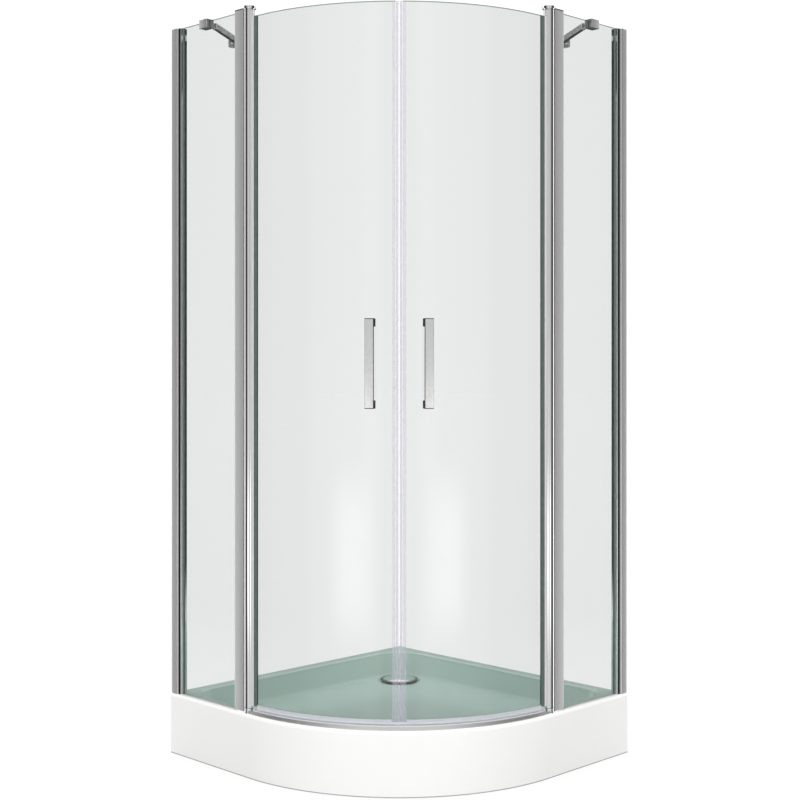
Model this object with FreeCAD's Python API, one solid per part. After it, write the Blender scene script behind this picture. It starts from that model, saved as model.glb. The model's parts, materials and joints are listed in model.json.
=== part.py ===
import FreeCAD, Part
import os
from math import atan2, cos, degrees, radians, sin, sqrt

# Quarter-round corner shower enclosure: two bent glass doors that turn on upright tubes,
# two flat side panels held in wall profiles and braced to the walls, all on a low tray.
# Millimetres, Z up. The origin is on the floor under the middle of the tray's square.
# The walls are the planes x = -TRAY_SIDE / 2 and y = TRAY_SIDE / 2.
# The left half is modelled and mirrored across the diagonal from the corner to the front.

# Tray
TRAY_SIDE = 900.0
TRAY_RADIUS = 550.0
TRAY_HEIGHT = 165.0
SHELL_WALL = 5.0
RIM_AT_WALL = 40.0
RIM_AT_GLASS = 48.0
RIM_EDGE_RADIUS = 10.0
RIM_INNER_RADIUS = 7.0
SKIRT_CORNER_RADIUS = 4.0
INNER_CORNER_SHARE = 0.4
BASIN_DEPTH = 60.0
BASIN_WALL_RUN = 24.0
BASIN_BACK_RADIUS = 100.0
BASIN_END_RADIUS = 70.0
BASIN_FOOT_RADIUS = 16.0
FLOOR_FALL = 12.0
WALL_FLANGE_DEPTH = 45.0
SKIRT_RETURN = 70.0

# Base board and feet under the tray
BOARD_THICKNESS = 16.0
BOARD_MARGIN = 14.0
BOND_GAP = 0.2
ROD_RADIUS = 5.0
ROD_GRIP = 9.0
ROD_STANDOFF = 5.0
NUT_ACROSS_CORNERS = 19.6
HEX_SIDES = 6
NUT_HEIGHT = 8.0
PAD_RADIUS = 26.0
PAD_HUB_RADIUS = 11.0
PAD_EDGE_HEIGHT = 6.0
PAD_HEIGHT = 18.0
FOOT_PLACE_SHARES = ((0.11, 0.13), (0.87, 0.89), (0.10, 0.58), (0.42, 0.90), (0.70, 0.30))

# Waste
DRAIN_INSET = 142.0
RECESS_RADIUS = 63.0
RECESS_DEPTH = 6.0
NECK_RADIUS = 42.0
NECK_WALL = 3.0
NECK_LENGTH = 34.0
NECK_ROOM = 1.5
FLANGE_RADIUS = 56.0
FLANGE_THICKNESS = 2.5
WASTE_SEAL = 1.5
TRAP_WALL = 4.0
TRAP_RIM = 14.0
TRAP_RIM_THICKNESS = 5.0
TRAP_FLOOR_HEIGHT = 14.0
SPIGOT_RADIUS = 20.0
SPIGOT_WALL = 2.4
SPIGOT_HEIGHT = 42.0
SPIGOT_COLLAR = 4.0
SPIGOT_COLLAR_LENGTH = 10.0
SPIGOT_STOP = 14.0
COVER_RADIUS = 58.0
COVER_WALL = 2.0
COVER_DOME = 4.5
COVER_LIP = 3.0
COVER_GAP = 5.0
COVER_LEG_RADIUS = 3.0
COVER_LEG_CIRCLE = 47.0
COVER_LEG_COUNT = 4
STEM_RADIUS = 15.0
STEM_WALL = 2.0
STEM_LENGTH = 24.0

# Glass and the line it stands on
GLASS = 5.0
FACE_INSET = 8.0
PROFILE_DEPTH = 24.0
PANEL_HEIGHT = 1845.0
PROFILE_WALL = 1.8
PROFILE_EDGE_RADIUS = 1.2

# Wall channel and the adjusting profile that slides in it
CHANNEL_WIDTH = 24.0
CHANNEL_WALL = 2.4
CHANNEL_ROOM = 0.6
CHANNEL_CAP = 2.0
ADJUST_START = 11.0
ADJUST_END = 38.0
GLASS_POCKET = 12.0
POCKET_ROOM = 1.0
GASKET = 1.6
GASKET_LIP = 4.0
GASKET_LIP_RISE = 1.0
WALL_HOLE_RADIUS = 2.6
WALL_HOLE_HEIGHT_SHARES = (0.06, 0.34, 0.66, 0.94)
PROFILE_SCREW_RADIUS = 1.9
PROFILE_SCREW_HEAD = 3.6
PROFILE_SCREW_HEAD_HEIGHT = 1.8
PROFILE_SCREW_TIP = 3.0
PROFILE_SCREW_HEIGHT_SHARES = (0.10, 0.50, 0.90)

# Hinge post, pivots and the door's turning tube
HINGE_SETBACK = 26.0
TUBE_RADIUS = 13.5
TUBE_BORE = 9.0
CUP_CLEARANCE = 1.2
POST_LENGTH = 37.5
POST_START = 48.0
POST_RISE = 2.0
PIVOT_PLATE = 3.0
PIVOT_PLUG = 16.0
PIVOT_FOOT = 13.0
PIVOT_CAP = 10.0
PIVOT_CAP_RADIUS = 17.0
PIVOT_CAP_CHAMFER = 1.5
TOE_HEIGHT = 7.0
BEARING_GAP = 1.0
BEARING_PLAY = 0.2
PIN_RADIUS = 4.0
PIN_GRIP = 8.0
PIN_REACH = 22.0
BUSH_LENGTH = 26.0
BUSH_FLANGE = 1.6
WING_WEB = 3.0
WING_WALL = 1.8
WING_REACH = 10.0
DOOR_GASKET = 1.4
DOOR_GASKET_BEND = 9.0

# Doors
DOOR_LIFT = 21.0
DOOR_HEIGHT = 1804.0
MEETING_GAP = 0.5
SEAL_WALL = 1.3
SEAL_NOSE = 9.0
SEAL_GRIP = 8.0
MAGNET_ROOM = 0.15
SKIRT_GRIP = 5.0
SKIRT_DROP = 6.5
SKIRT_WEB = 1.6
SKIRT_FIN = 6.0
SKIRT_FIN_RISE = 1.5

# Handles
HANDLE_LENGTH = 225.0
HANDLE_WIDTH = 22.0
HANDLE_BAR = 10.0
HANDLE_LEG = 20.0
HANDLE_STANDOFF = 28.0
HANDLE_BEND_RADIUS = 5.0
HANDLE_EDGE_RADIUS = 1.0
HANDLE_FROM_MEETING = 70.0
HANDLE_CENTRE_HEIGHT = 1082.0
HANDLE_PAD = 1.2
HANDLE_SCREW_RADIUS = 2.5
HANDLE_SCREW_GRIP = 14.0
HANDLE_SCREW_HEAD = 4.6
HANDLE_SCREW_HEAD_HEIGHT = 4.0
GLASS_HOLE_RADIUS = 5.0
ROSETTE_RADIUS = 8.0
ROSETTE_HEIGHT = 7.0
ROSETTE_CHAMFER = 1.2

# Braces from the side panels to the walls
BRACE_DROP = 6.5
BRACE_HEIGHT = 23.0
CLAMP_PLACE_SHARE = 0.416
CLAMP_WIDTH = 34.0
CLAMP_FRONT = 12.0
CLAMP_BACK = 16.0
CLAMP_EDGE_RADIUS = 1.5
CLAMP_PIVOT = 32.0
CLAMP_SCREW_RADIUS = 3.0
CLAMP_SCREW_SPREAD = 22.0
ARM_WIDTH = 12.0
ARM_HEIGHT = 15.0
TONGUE = 7.0
FORK_DEPTH = 9.0
BRACE_SCREW_RADIUS = 2.5
BRACE_SCREW_HEAD = 4.4
BRACE_SCREW_HEAD_HEIGHT = 2.2
FOOT_FROM_FRONT = 238.0
FOOT_PIVOT = 18.0
FOOT_LENGTH = 64.0
FOOT_THICKNESS = 5.0
FOOT_HOLE_RADIUS = 2.6
FOOT_HOLE_SPACING = 46.0

# Threshold rail on the tray's rim below the doors
RAIL_HEIGHT = 12.0
RAIL_WIDTH = 22.0
RAIL_WALL = 1.6
RAIL_SLOPE = 4.0

# Hexagon sockets of the screws
SOCKET_SHARE = 0.58
SOCKET_DEPTH_SHARE = 0.6
SET_SCREW_SOCKET_DEPTH = 3.0

# Clearances
SLIP = 0.3
FIT = 0.1
PRESS = 0.02
RUNNING = 0.05
OVERRUN = 2.0
ALIGNED_SHARE = 0.98

# Places worked out from the sizes above
UP = FreeCAD.Vector(0, 0, 1)
HALF = TRAY_SIDE / 2
FULL_TURN = 360
FRONT_LEFT = -90
MEETING = -45
FRONT_RIGHT = 0
FACE_E = FACE_INSET
BACK_E = FACE_INSET + PROFILE_DEPTH
GLASS_E = FACE_INSET + PROFILE_DEPTH / 2
CHANNEL_FACE_E = FACE_E - CHANNEL_ROOM - CHANNEL_WALL
CHANNEL_BACK_E = BACK_E + CHANNEL_ROOM + CHANNEL_WALL
BEND_S = TRAY_SIDE - TRAY_RADIUS
DOOR_RADIUS = TRAY_RADIUS - GLASS_E
GLASS_TOP = TRAY_HEIGHT + PANEL_HEIGHT
GLASS_START = ADJUST_END - GLASS_POCKET + POCKET_ROOM
HINGE_S = BEND_S - HINGE_SETBACK
CUP_RADIUS = TUBE_RADIUS + CUP_CLEARANCE
POST_S = HINGE_S - POST_START
POST_TOP = GLASS_TOP + POST_RISE
POST_BOTTOM = TRAY_HEIGHT + PIVOT_PLATE
CHAMBER_S = POST_S + GLASS_POCKET + PROFILE_WALL
CHAMBER_END = HINGE_S - CUP_RADIUS - PROFILE_WALL
TUBE_BOTTOM = TRAY_HEIGHT + PIVOT_FOOT + BEARING_GAP
TUBE_TOP = GLASS_TOP - BEARING_GAP
DOOR_BOTTOM = TRAY_HEIGHT + DOOR_LIFT
DOOR_TOP = DOOR_BOTTOM + DOOR_HEIGHT
DOOR_EDGE_S = HINGE_S + TUBE_BORE + WING_WEB + POCKET_ROOM
WING_END = DOOR_EDGE_S + WING_REACH
WING_HALF = GLASS / 2 + DOOR_GASKET + WING_WALL
BRACE_Z = GLASS_TOP - BRACE_DROP
CLAMP_S = ADJUST_END + CLAMP_PLACE_SHARE * (POST_S - ADJUST_END)
FLOOR_MIDDLE = TRAY_HEIGHT - BASIN_DEPTH
FLOOR_SLOPE = FLOOR_FALL / TRAY_SIDE
DRAIN_S = DRAIN_INSET
DRAIN_E = TRAY_SIDE - DRAIN_INSET
DRAIN_FLOOR = FLOOR_MIDDLE - FLOOR_SLOPE * (HALF - DRAIN_INSET) * sqrt(2)
DRAIN_SEAT = DRAIN_FLOOR - RECESS_DEPTH
FLANGE_TOP = DRAIN_SEAT + WASTE_SEAL + FLANGE_THICKNESS
TRAP_TOP = DRAIN_SEAT - SHELL_WALL - WASTE_SEAL
BOARD_BOTTOM = FLOOR_MIDDLE - SHELL_WALL - BOND_GAP - BOARD_THICKNESS


def spot(s, e, z=0.0):
    """The point s along the left side from its wall, e in from the tray's edge and z up."""
    return FreeCAD.Vector(s - HALF, e - HALF, z)


BEND = spot(BEND_S, TRAY_RADIUS)


def polar(radius, angle, z=0.0):
    """A point at a radius and an angle in degrees round the centre of the rounded front."""
    return BEND + FreeCAD.Vector(radius * cos(radians(angle)), radius * sin(radians(angle)), z)


def arc_angle(length):
    """The angle in degrees that a length takes along the doors."""
    return degrees(length / DOOR_RADIUS)


def prism(points, bottom, top):
    """An upright solid over a closed outline of (s, e) points."""
    wire = Part.makePolygon([spot(s, e, bottom) for s, e in points + points[:1]])
    return Part.Face(wire).extrude(UP * (top - bottom))


def block(s0, s1, e0, e1, bottom, top):
    """An upright block between two distances from the wall and two from the tray's edge."""
    return Part.makeBox(s1 - s0, e1 - e0, top - bottom, spot(s0, e0, bottom))


def glass_slot(s0, s1, room, top):
    """A cutter along the glass line from the floor up, with room on both sides of the glass."""
    half = GLASS / 2 + room
    return block(s0, s1, GLASS_E - half, GLASS_E + half, 0, top)


def rod(radius, s, e, bottom, top):
    """An upright round rod."""
    return Part.makeCylinder(radius, top - bottom, spot(s, e, bottom))


def turned(points, s, e):
    """A solid turned about the upright line at (s, e) from a closed (radius, z) outline."""
    axis = spot(s, e)
    loop = [axis + FreeCAD.Vector(radius, 0, z) for radius, z in points + points[:1]]
    return Part.Face(Part.makePolygon(loop)).revolve(axis, UP, FULL_TURN)


def arc_edge(radius, start, end, z):
    """An arc round the centre of the rounded front."""
    middle = (start + end) / 2
    return Part.Arc(*[polar(radius, angle, z) for angle in (start, middle, end)]).toShape()


def arc_wall(inner, outer, start, end, bottom, top):
    """An upright wall bent round the centre of the rounded front."""
    edges = [
        arc_edge(outer, start, end, bottom),
        Part.makeLine(polar(outer, end, bottom), polar(inner, end, bottom)),
        arc_edge(inner, end, start, bottom),
        Part.makeLine(polar(inner, start, bottom), polar(outer, start, bottom)),
    ]
    return Part.Face(Part.Wire(edges)).extrude(UP * (top - bottom))


def bent_rail(points, start, end):
    """A rail of a closed (radius, z) section, swept round the centre of the rounded front."""
    loop = [polar(radius, start, z) for radius, z in points + points[:1]]
    return Part.Face(Part.makePolygon(loop)).revolve(BEND, UP, end - start)


def upright_edges(shape):
    """The straight upright edges of a solid."""
    return [edge for edge in shape.Edges if abs(edge.tangentAt(edge.FirstParameter).z) > ALIGNED_SHARE]


def hexagon(middle, along, corner_radius, length):
    """A six-sided bar from a point along a direction."""
    level = abs(along.z) < ALIGNED_SHARE
    corner = (along.cross(UP) if level else FreeCAD.Vector(1, 0, 0)) * corner_radius
    turns = [FreeCAD.Rotation(along, turn * FULL_TURN / HEX_SIDES) for turn in range(HEX_SIDES + 1)]
    outline = Part.makePolygon([middle + turn.multVec(corner) for turn in turns])
    return Part.Face(outline).extrude(along * length)


def screw(tip, head, along, radius, head_radius, head_height):
    """A screw from its tip to the face under its head, with a hexagon socket in the head."""
    shank = Part.makeCylinder(radius, (head - tip).Length, tip, along)
    body = shank.fuse(Part.makeCylinder(head_radius, head_height, head, along)).removeSplitter()
    end = head + along * head_height
    return body.cut(hexagon(end, -along, head_radius * SOCKET_SHARE, head_height * SOCKET_DEPTH_SHARE))


# Tray


def tray_outline(wall_inset, glass_inset, back_radius, end_radius, z):
    """The quarter-round outline, in from the walls and from the glazed sides."""
    left = wall_inset - HALF
    back = HALF - wall_inset
    front = glass_inset - HALF
    right = HALF - glass_inset
    bend = TRAY_RADIUS - glass_inset
    corners = (
        (BEND.x, BEND.y, bend, FRONT_LEFT),
        (right - end_radius, back - end_radius, end_radius, FRONT_RIGHT),
        (left + back_radius, back - back_radius, back_radius, FRONT_RIGHT - FRONT_LEFT),
        (left + end_radius, front + end_radius, end_radius, FRONT_LEFT * 2),
    )
    edges = []
    last = None
    for x, y, radius, start in corners:
        angles = [radians(start - turn * MEETING) for turn in (0, 1, 2)]
        ends = [FreeCAD.Vector(x + radius * cos(a), y + radius * sin(a), z) for a in angles]
        if last:
            edges.append(Part.makeLine(last, ends[0]))
        if radius:
            edges.append(Part.Arc(*ends).toShape())
        last = ends[-1]
    edges.append(Part.makeLine(last, edges[0].Vertexes[0].Point))
    return Part.Wire(edges)


def basin(grow, foot_radius):
    """The hollow of the basin, made larger all round by a wall's thickness."""
    depth = BASIN_DEPTH + FLOOR_FALL
    wires = []
    for level in (0, depth):
        lean = BASIN_WALL_RUN * level / BASIN_DEPTH - grow
        wires.append(
            tray_outline(
                RIM_AT_WALL + lean,
                RIM_AT_GLASS + lean,
                BASIN_BACK_RADIUS - lean,
                BASIN_END_RADIUS - lean,
                TRAY_HEIGHT - level,
            )
        )
    hollow = Part.makeLoft(wires, True, True)
    under = Part.makeBox(
        TRAY_SIDE * 2, TRAY_SIDE * 2, TRAY_HEIGHT, FreeCAD.Vector(-TRAY_SIDE, -TRAY_SIDE, -TRAY_HEIGHT)
    )
    under.rotate(FreeCAD.Vector(0, 0, 0), FreeCAD.Vector(1, 1, 0), -degrees(atan2(FLOOR_SLOPE, 1)))
    under.translate(UP * (FLOOR_MIDDLE - grow))
    hollow = hollow.cut(under)
    if foot_radius:
        floor = min(hollow.Faces, key=lambda face: face.CenterOfMass.z)
        hollow = hollow.makeFillet(foot_radius, floor.Edges)
    return hollow.fuse(rod(RECESS_RADIUS + grow, DRAIN_S, DRAIN_E, DRAIN_SEAT - grow, FLOOR_MIDDLE))


def tray_shell():
    """A formed shell: skirt, rim, basin with a falling floor and a seat for the waste."""
    outside = Part.Face(tray_outline(0, 0, 0, 0, 0)).extrude(UP * TRAY_HEIGHT)
    top = max(outside.Faces, key=lambda face: face.CenterOfMass.z)
    front = [edge for edge in top.Edges if edge.CenterOfMass.x - edge.CenterOfMass.y > HALF]
    outside = outside.makeFillet(RIM_EDGE_RADIUS, front)
    at_walls = [face for face in outside.Faces if face.CenterOfMass.y - face.CenterOfMass.x > HALF - PRESS]
    corners = [edge for face in at_walls for edge in face.Edges if edge.CenterOfMass.z > PRESS]
    outside = outside.makeFillet(SKIRT_CORNER_RADIUS, corners)
    inner_radius = SKIRT_CORNER_RADIUS * INNER_CORNER_SHARE
    inner = tray_outline(SHELL_WALL, SHELL_WALL, inner_radius, inner_radius, -OVERRUN)
    under = Part.Face(inner).extrude(UP * (TRAY_HEIGHT - SHELL_WALL + OVERRUN))
    under = under.cut(basin(SHELL_WALL, 0))
    shell = outside.cut(basin(0, BASIN_FOOT_RADIUS))
    rim = [f for f in shell.Faces if abs(f.CenterOfMass.z - TRAY_HEIGHT) < PRESS and len(f.Wires) > 1][0]
    lip = min(rim.Wires, key=lambda wire: wire.Length)
    shell = shell.makeFillet(RIM_INNER_RADIUS, lip.Edges)
    shell = shell.cut(under)
    flange_foot = TRAY_HEIGHT - WALL_FLANGE_DEPTH
    open_side = block(-OVERRUN, SHELL_WALL, SKIRT_RETURN, TRAY_SIDE - SKIRT_RETURN, -OVERRUN, flange_foot)
    shell = shell.cut(open_side).cut(mirrored(open_side))
    return shell.cut(rod(NECK_RADIUS + NECK_ROOM, DRAIN_S, DRAIN_E, 0, TRAY_HEIGHT))


def foot_places():
    """Where the feet stand, as (s, e)."""
    return [(s * TRAY_SIDE, e * TRAY_SIDE) for s, e in FOOT_PLACE_SHARES]


def tray_base_board():
    """A stiffening board bonded under the falling floor, open round the waste."""
    inset = BASIN_WALL_RUN + BOARD_MARGIN
    outline = tray_outline(
        RIM_AT_WALL + inset,
        RIM_AT_GLASS + inset,
        BASIN_BACK_RADIUS - inset,
        BASIN_END_RADIUS - inset,
        BOARD_BOTTOM,
    )
    board = Part.Face(outline).extrude(UP * (TRAY_HEIGHT - BOARD_BOTTOM))
    board = board.cut(basin(SHELL_WALL + BOND_GAP, 0))
    board = board.cut(rod(RECESS_RADIUS + SHELL_WALL + TRAP_RIM, DRAIN_S, DRAIN_E, 0, TRAY_HEIGHT))
    board = min(board.Solids, key=lambda solid: solid.CenterOfMass.z)
    for s, e in foot_places():
        board = board.cut(rod(ROD_RADIUS + FIT, s, e, 0, BOARD_BOTTOM + ROD_GRIP))
    return board


def foot_rods():
    """Threaded rods that set the tray's level."""
    return [rod(ROD_RADIUS, s, e, ROD_STANDOFF, BOARD_BOTTOM + ROD_GRIP) for s, e in foot_places()]


def foot_nuts():
    """Lock nuts under the base board."""
    nuts = []
    for s, e in foot_places():
        nut = hexagon(spot(s, e, BOARD_BOTTOM - NUT_HEIGHT), UP, NUT_ACROSS_CORNERS / 2, NUT_HEIGHT)
        nuts.append(nut.cut(rod(ROD_RADIUS + FIT, s, e, 0, BOARD_BOTTOM)))
    return nuts


def foot_pads():
    """Moulded pads that stand on the floor."""
    bore = ROD_RADIUS + FIT
    outline = [
        (0, 0),
        (PAD_RADIUS, 0),
        (PAD_RADIUS, PAD_EDGE_HEIGHT),
        (PAD_HUB_RADIUS, PAD_HEIGHT),
        (bore, PAD_HEIGHT),
        (bore, ROD_STANDOFF),
        (0, ROD_STANDOFF),
    ]
    return [turned(outline, s, e) for s, e in foot_places()]


# Waste


def waste_flange():
    """A flanged neck that clamps the waste through the tray's floor."""
    bore = NECK_RADIUS - NECK_WALL
    bottom = DRAIN_SEAT + WASTE_SEAL
    outline = [
        (bore, FLANGE_TOP),
        (bore, FLANGE_TOP - NECK_LENGTH),
        (NECK_RADIUS, FLANGE_TOP - NECK_LENGTH),
        (NECK_RADIUS, bottom),
        (FLANGE_RADIUS, bottom),
        (FLANGE_RADIUS - FLANGE_THICKNESS / 2, FLANGE_TOP),
    ]
    return turned(outline, DRAIN_S, DRAIN_E)


def waste_seals():
    """Flat rings above and below the tray's floor."""
    rings = []
    for bottom in (DRAIN_SEAT, TRAP_TOP):
        ring = rod(FLANGE_RADIUS, DRAIN_S, DRAIN_E, bottom, bottom + WASTE_SEAL)
        rings.append(ring.cut(rod(NECK_RADIUS + NECK_ROOM, DRAIN_S, DRAIN_E, bottom, bottom + WASTE_SEAL)))
    return rings


def waste_trap():
    """A trap cup with a rim against the lower ring and a level outlet to the wall."""
    bore = NECK_RADIUS + FIT
    outside = bore + TRAP_WALL
    outline = [
        (0, TRAP_FLOOR_HEIGHT),
        (outside, TRAP_FLOOR_HEIGHT),
        (outside, TRAP_TOP - TRAP_RIM_THICKNESS),
        (bore + TRAP_RIM, TRAP_TOP - TRAP_RIM_THICKNESS),
        (bore + TRAP_RIM, TRAP_TOP),
        (bore, TRAP_TOP),
        (bore, TRAP_FLOOR_HEIGHT + TRAP_WALL),
        (0, TRAP_FLOOR_HEIGHT + TRAP_WALL),
    ]
    cup = turned(outline, DRAIN_S, DRAIN_E)
    wall_way = FreeCAD.Vector(0, 1, 0)
    middle = spot(DRAIN_S, DRAIN_E, SPIGOT_HEIGHT)
    reach = DRAIN_INSET - SPIGOT_STOP
    collar_end = outside + SPIGOT_COLLAR_LENGTH
    spigot = Part.makeCylinder(SPIGOT_RADIUS, reach, middle, wall_way)
    spigot = spigot.fuse(Part.makeCylinder(SPIGOT_RADIUS + SPIGOT_COLLAR, collar_end, middle, wall_way))
    spigot = spigot.cut(rod(bore, DRAIN_S, DRAIN_E, 0, TRAP_TOP))
    passage = Part.makeCylinder(SPIGOT_RADIUS - SPIGOT_WALL, DRAIN_INSET, middle, wall_way)
    return cup.fuse(spigot).cut(passage).removeSplitter()


def drain_cover():
    """A domed loose cover that stands on legs over the waste, with a stem down the neck."""
    rim = FLANGE_TOP + COVER_GAP
    top = rim + COVER_LIP + COVER_DOME
    sphere = (COVER_RADIUS * COVER_RADIUS + COVER_DOME * COVER_DOME) / (2 * COVER_DOME)
    axis = spot(DRAIN_S, DRAIN_E)

    def point(radius, z):
        return axis + FreeCAD.Vector(radius, 0, z)

    middle = COVER_RADIUS / 2
    on_dome = point(middle, top - sphere + sqrt(sphere * sphere - middle * middle))
    roof = rim + COVER_LIP - COVER_WALL
    rim_bore = COVER_RADIUS - COVER_WALL
    stem_bore = STEM_RADIUS - STEM_WALL
    stem_end = FLANGE_TOP - STEM_LENGTH
    corners = [
        (COVER_RADIUS, rim + COVER_LIP),
        (COVER_RADIUS, rim),
        (rim_bore, rim),
        (rim_bore, roof),
        (STEM_RADIUS, roof),
        (STEM_RADIUS, stem_end),
        (stem_bore, stem_end),
        (stem_bore, roof),
        (0, roof),
        (0, top),
    ]
    sides = Part.makePolygon([point(radius, z) for radius, z in corners]).Edges
    dome = Part.Arc(point(0, top), on_dome, point(COVER_RADIUS, rim + COVER_LIP)).toShape()
    cover = Part.Face(Part.Wire([dome] + sides)).revolve(axis, UP, FULL_TURN)
    for turn in range(COVER_LEG_COUNT):
        angle = radians(turn * FULL_TURN / COVER_LEG_COUNT)
        s = DRAIN_S + COVER_LEG_CIRCLE * cos(angle)
        e = DRAIN_E + COVER_LEG_CIRCLE * sin(angle)
        cover = cover.fuse(rod(COVER_LEG_RADIUS, s, e, FLANGE_TOP + SLIP, roof))
    return cover.removeSplitter()


# Wall profiles and side panels


def profile_heights(shares):
    """Heights along a wall profile."""
    return [TRAY_HEIGHT + share * PANEL_HEIGHT for share in shares]


def profile_screw_line():
    """How far from the wall the screws join the adjusting profile to its channel."""
    return (ADJUST_START + CHANNEL_WIDTH) / 2


def profile_screw_bores():
    """Bores through the channel's inner side into the adjusting profile."""
    bores = []
    for z in profile_heights(PROFILE_SCREW_HEIGHT_SHARES):
        start = spot(profile_screw_line(), CHANNEL_BACK_E + OVERRUN, z)
        depth = OVERRUN + CHANNEL_WALL + CHANNEL_ROOM + PROFILE_WALL + FIT
        bores.append(Part.makeCylinder(PROFILE_SCREW_RADIUS + FIT, depth, start, FreeCAD.Vector(0, -1, 0)))
    return bores


def wall_channel():
    """A channel screwed upright to the wall, open towards the glass."""
    top = GLASS_TOP - CHANNEL_CAP
    body = block(0, CHANNEL_WIDTH, CHANNEL_FACE_E, CHANNEL_BACK_E, TRAY_HEIGHT, top)
    outer = [edge for edge in upright_edges(body) if edge.CenterOfMass.x > CHANNEL_WIDTH / 2 - HALF]
    body = body.makeFillet(PROFILE_EDGE_RADIUS, outer)
    face = CHANNEL_FACE_E + CHANNEL_WALL
    back = CHANNEL_BACK_E - CHANNEL_WALL
    body = body.cut(block(CHANNEL_WALL, CHANNEL_WIDTH + OVERRUN, face, back, 0, GLASS_TOP))
    way = FreeCAD.Vector(1, 0, 0)
    for z in profile_heights(WALL_HOLE_HEIGHT_SHARES):
        start = spot(-OVERRUN, GLASS_E, z)
        body = body.cut(Part.makeCylinder(WALL_HOLE_RADIUS, CHANNEL_WALL + 2 * OVERRUN, start, way))
    return body.cut(profile_screw_bores())


def adjusting_profile():
    """A box section that slides in the channel and holds the glass in a pocket."""
    top = GLASS_TOP - CHANNEL_CAP
    body = block(ADJUST_START, ADJUST_END, FACE_E, BACK_E, TRAY_HEIGHT, top)
    outer = [edge for edge in upright_edges(body) if edge.CenterOfMass.x > CHANNEL_WIDTH - HALF]
    body = body.makeFillet(PROFILE_EDGE_RADIUS, outer)
    pocket_start = ADJUST_END - GLASS_POCKET
    body = body.cut(glass_slot(pocket_start, ADJUST_END + OVERRUN, GASKET, GLASS_TOP))
    start = ADJUST_START + PROFILE_WALL
    end = pocket_start - PROFILE_WALL
    body = body.cut(block(start, end, FACE_E + PROFILE_WALL, BACK_E - PROFILE_WALL, 0, GLASS_TOP))
    return body.cut(profile_screw_bores())


def profile_screws():
    """Screws that fix the adjusting profile once the panel stands upright."""
    screws = []
    for z in profile_heights(PROFILE_SCREW_HEIGHT_SHARES):
        head = spot(profile_screw_line(), CHANNEL_BACK_E, z)
        tip = spot(profile_screw_line(), BACK_E - PROFILE_WALL - PROFILE_SCREW_TIP, z)
        along = FreeCAD.Vector(0, 1, 0)
        screws.append(
            screw(tip, head, along, PROFILE_SCREW_RADIUS, PROFILE_SCREW_HEAD, PROFILE_SCREW_HEAD_HEIGHT)
        )
    return screws


def wall_channel_cap():
    """A flat cap over the channel and the back of the adjusting profile."""
    step = ADJUST_END - GLASS_POCKET
    points = [
        (0, CHANNEL_FACE_E),
        (CHANNEL_WIDTH, CHANNEL_FACE_E),
        (CHANNEL_WIDTH, FACE_E),
        (step, FACE_E),
        (step, BACK_E),
        (CHANNEL_WIDTH, BACK_E),
        (CHANNEL_WIDTH, CHANNEL_BACK_E),
        (0, CHANNEL_BACK_E),
    ]
    return prism(points, GLASS_TOP - CHANNEL_CAP, GLASS_TOP)


def fixed_glass():
    """A flat side panel that stands on the tray between the wall profile and the post."""
    end = POST_S + GLASS_POCKET - POCKET_ROOM
    return block(GLASS_START, end, GLASS_E - GLASS / 2, GLASS_E + GLASS / 2, TRAY_HEIGHT, GLASS_TOP)


def gasket(inside, mouth, tip, thickness, bottom, top):
    """A pair of strips from inside a pocket, out through its mouth to a lip on the glass."""
    way = 1 if tip > mouth else -1
    near = GLASS / 2 + FIT
    far = GLASS / 2 + thickness - FIT
    strips = []
    for side in (-1, 1):
        points = [
            (inside, GLASS_E + side * near),
            (tip, GLASS_E + side * near),
            (mouth + way * FIT, GLASS_E + side * (far + GASKET_LIP_RISE)),
            (mouth + way * FIT, GLASS_E + side * far),
            (inside, GLASS_E + side * far),
        ]
        strips.append(prism(points, bottom, top))
    return strips


def glazing_gaskets():
    """Strips that hold the side panel in the wall profile and in the post."""
    wall_top = GLASS_TOP - CHANNEL_CAP
    at_wall = gasket(GLASS_START, ADJUST_END, ADJUST_END + GASKET_LIP, GASKET, TRAY_HEIGHT, wall_top)
    post_inside = POST_S + GLASS_POCKET - POCKET_ROOM
    at_post = gasket(post_inside, POST_S, POST_S - GASKET_LIP, GASKET, POST_BOTTOM, GLASS_TOP)
    return at_wall + at_post


# Hinge posts and pivots


def hinge_post():
    """A post with a pocket for the panel and a hollow round face that the tube turns in."""
    body = block(POST_S, POST_S + POST_LENGTH, FACE_E, BACK_E, POST_BOTTOM, POST_TOP)
    outer = [edge for edge in upright_edges(body) if edge.CenterOfMass.x < POST_S + POST_LENGTH / 2 - HALF]
    body = body.makeFillet(PROFILE_EDGE_RADIUS, outer)
    body = body.cut(rod(CUP_RADIUS, HINGE_S, GLASS_E, 0, POST_TOP + OVERRUN))
    beyond = POST_TOP + OVERRUN
    body = body.cut(glass_slot(POST_S - OVERRUN, POST_S + GLASS_POCKET, GASKET, beyond))
    return body.cut(block(CHAMBER_S, CHAMBER_END, FACE_E + PROFILE_WALL, BACK_E - PROFILE_WALL, 0, beyond))


def chamber_plug(bottom, top):
    """The plug of a pivot bracket inside the post."""
    inset = PROFILE_WALL + SLIP
    return block(CHAMBER_S + SLIP, CHAMBER_END - SLIP, FACE_E + inset, BACK_E - inset, bottom, top)


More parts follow.
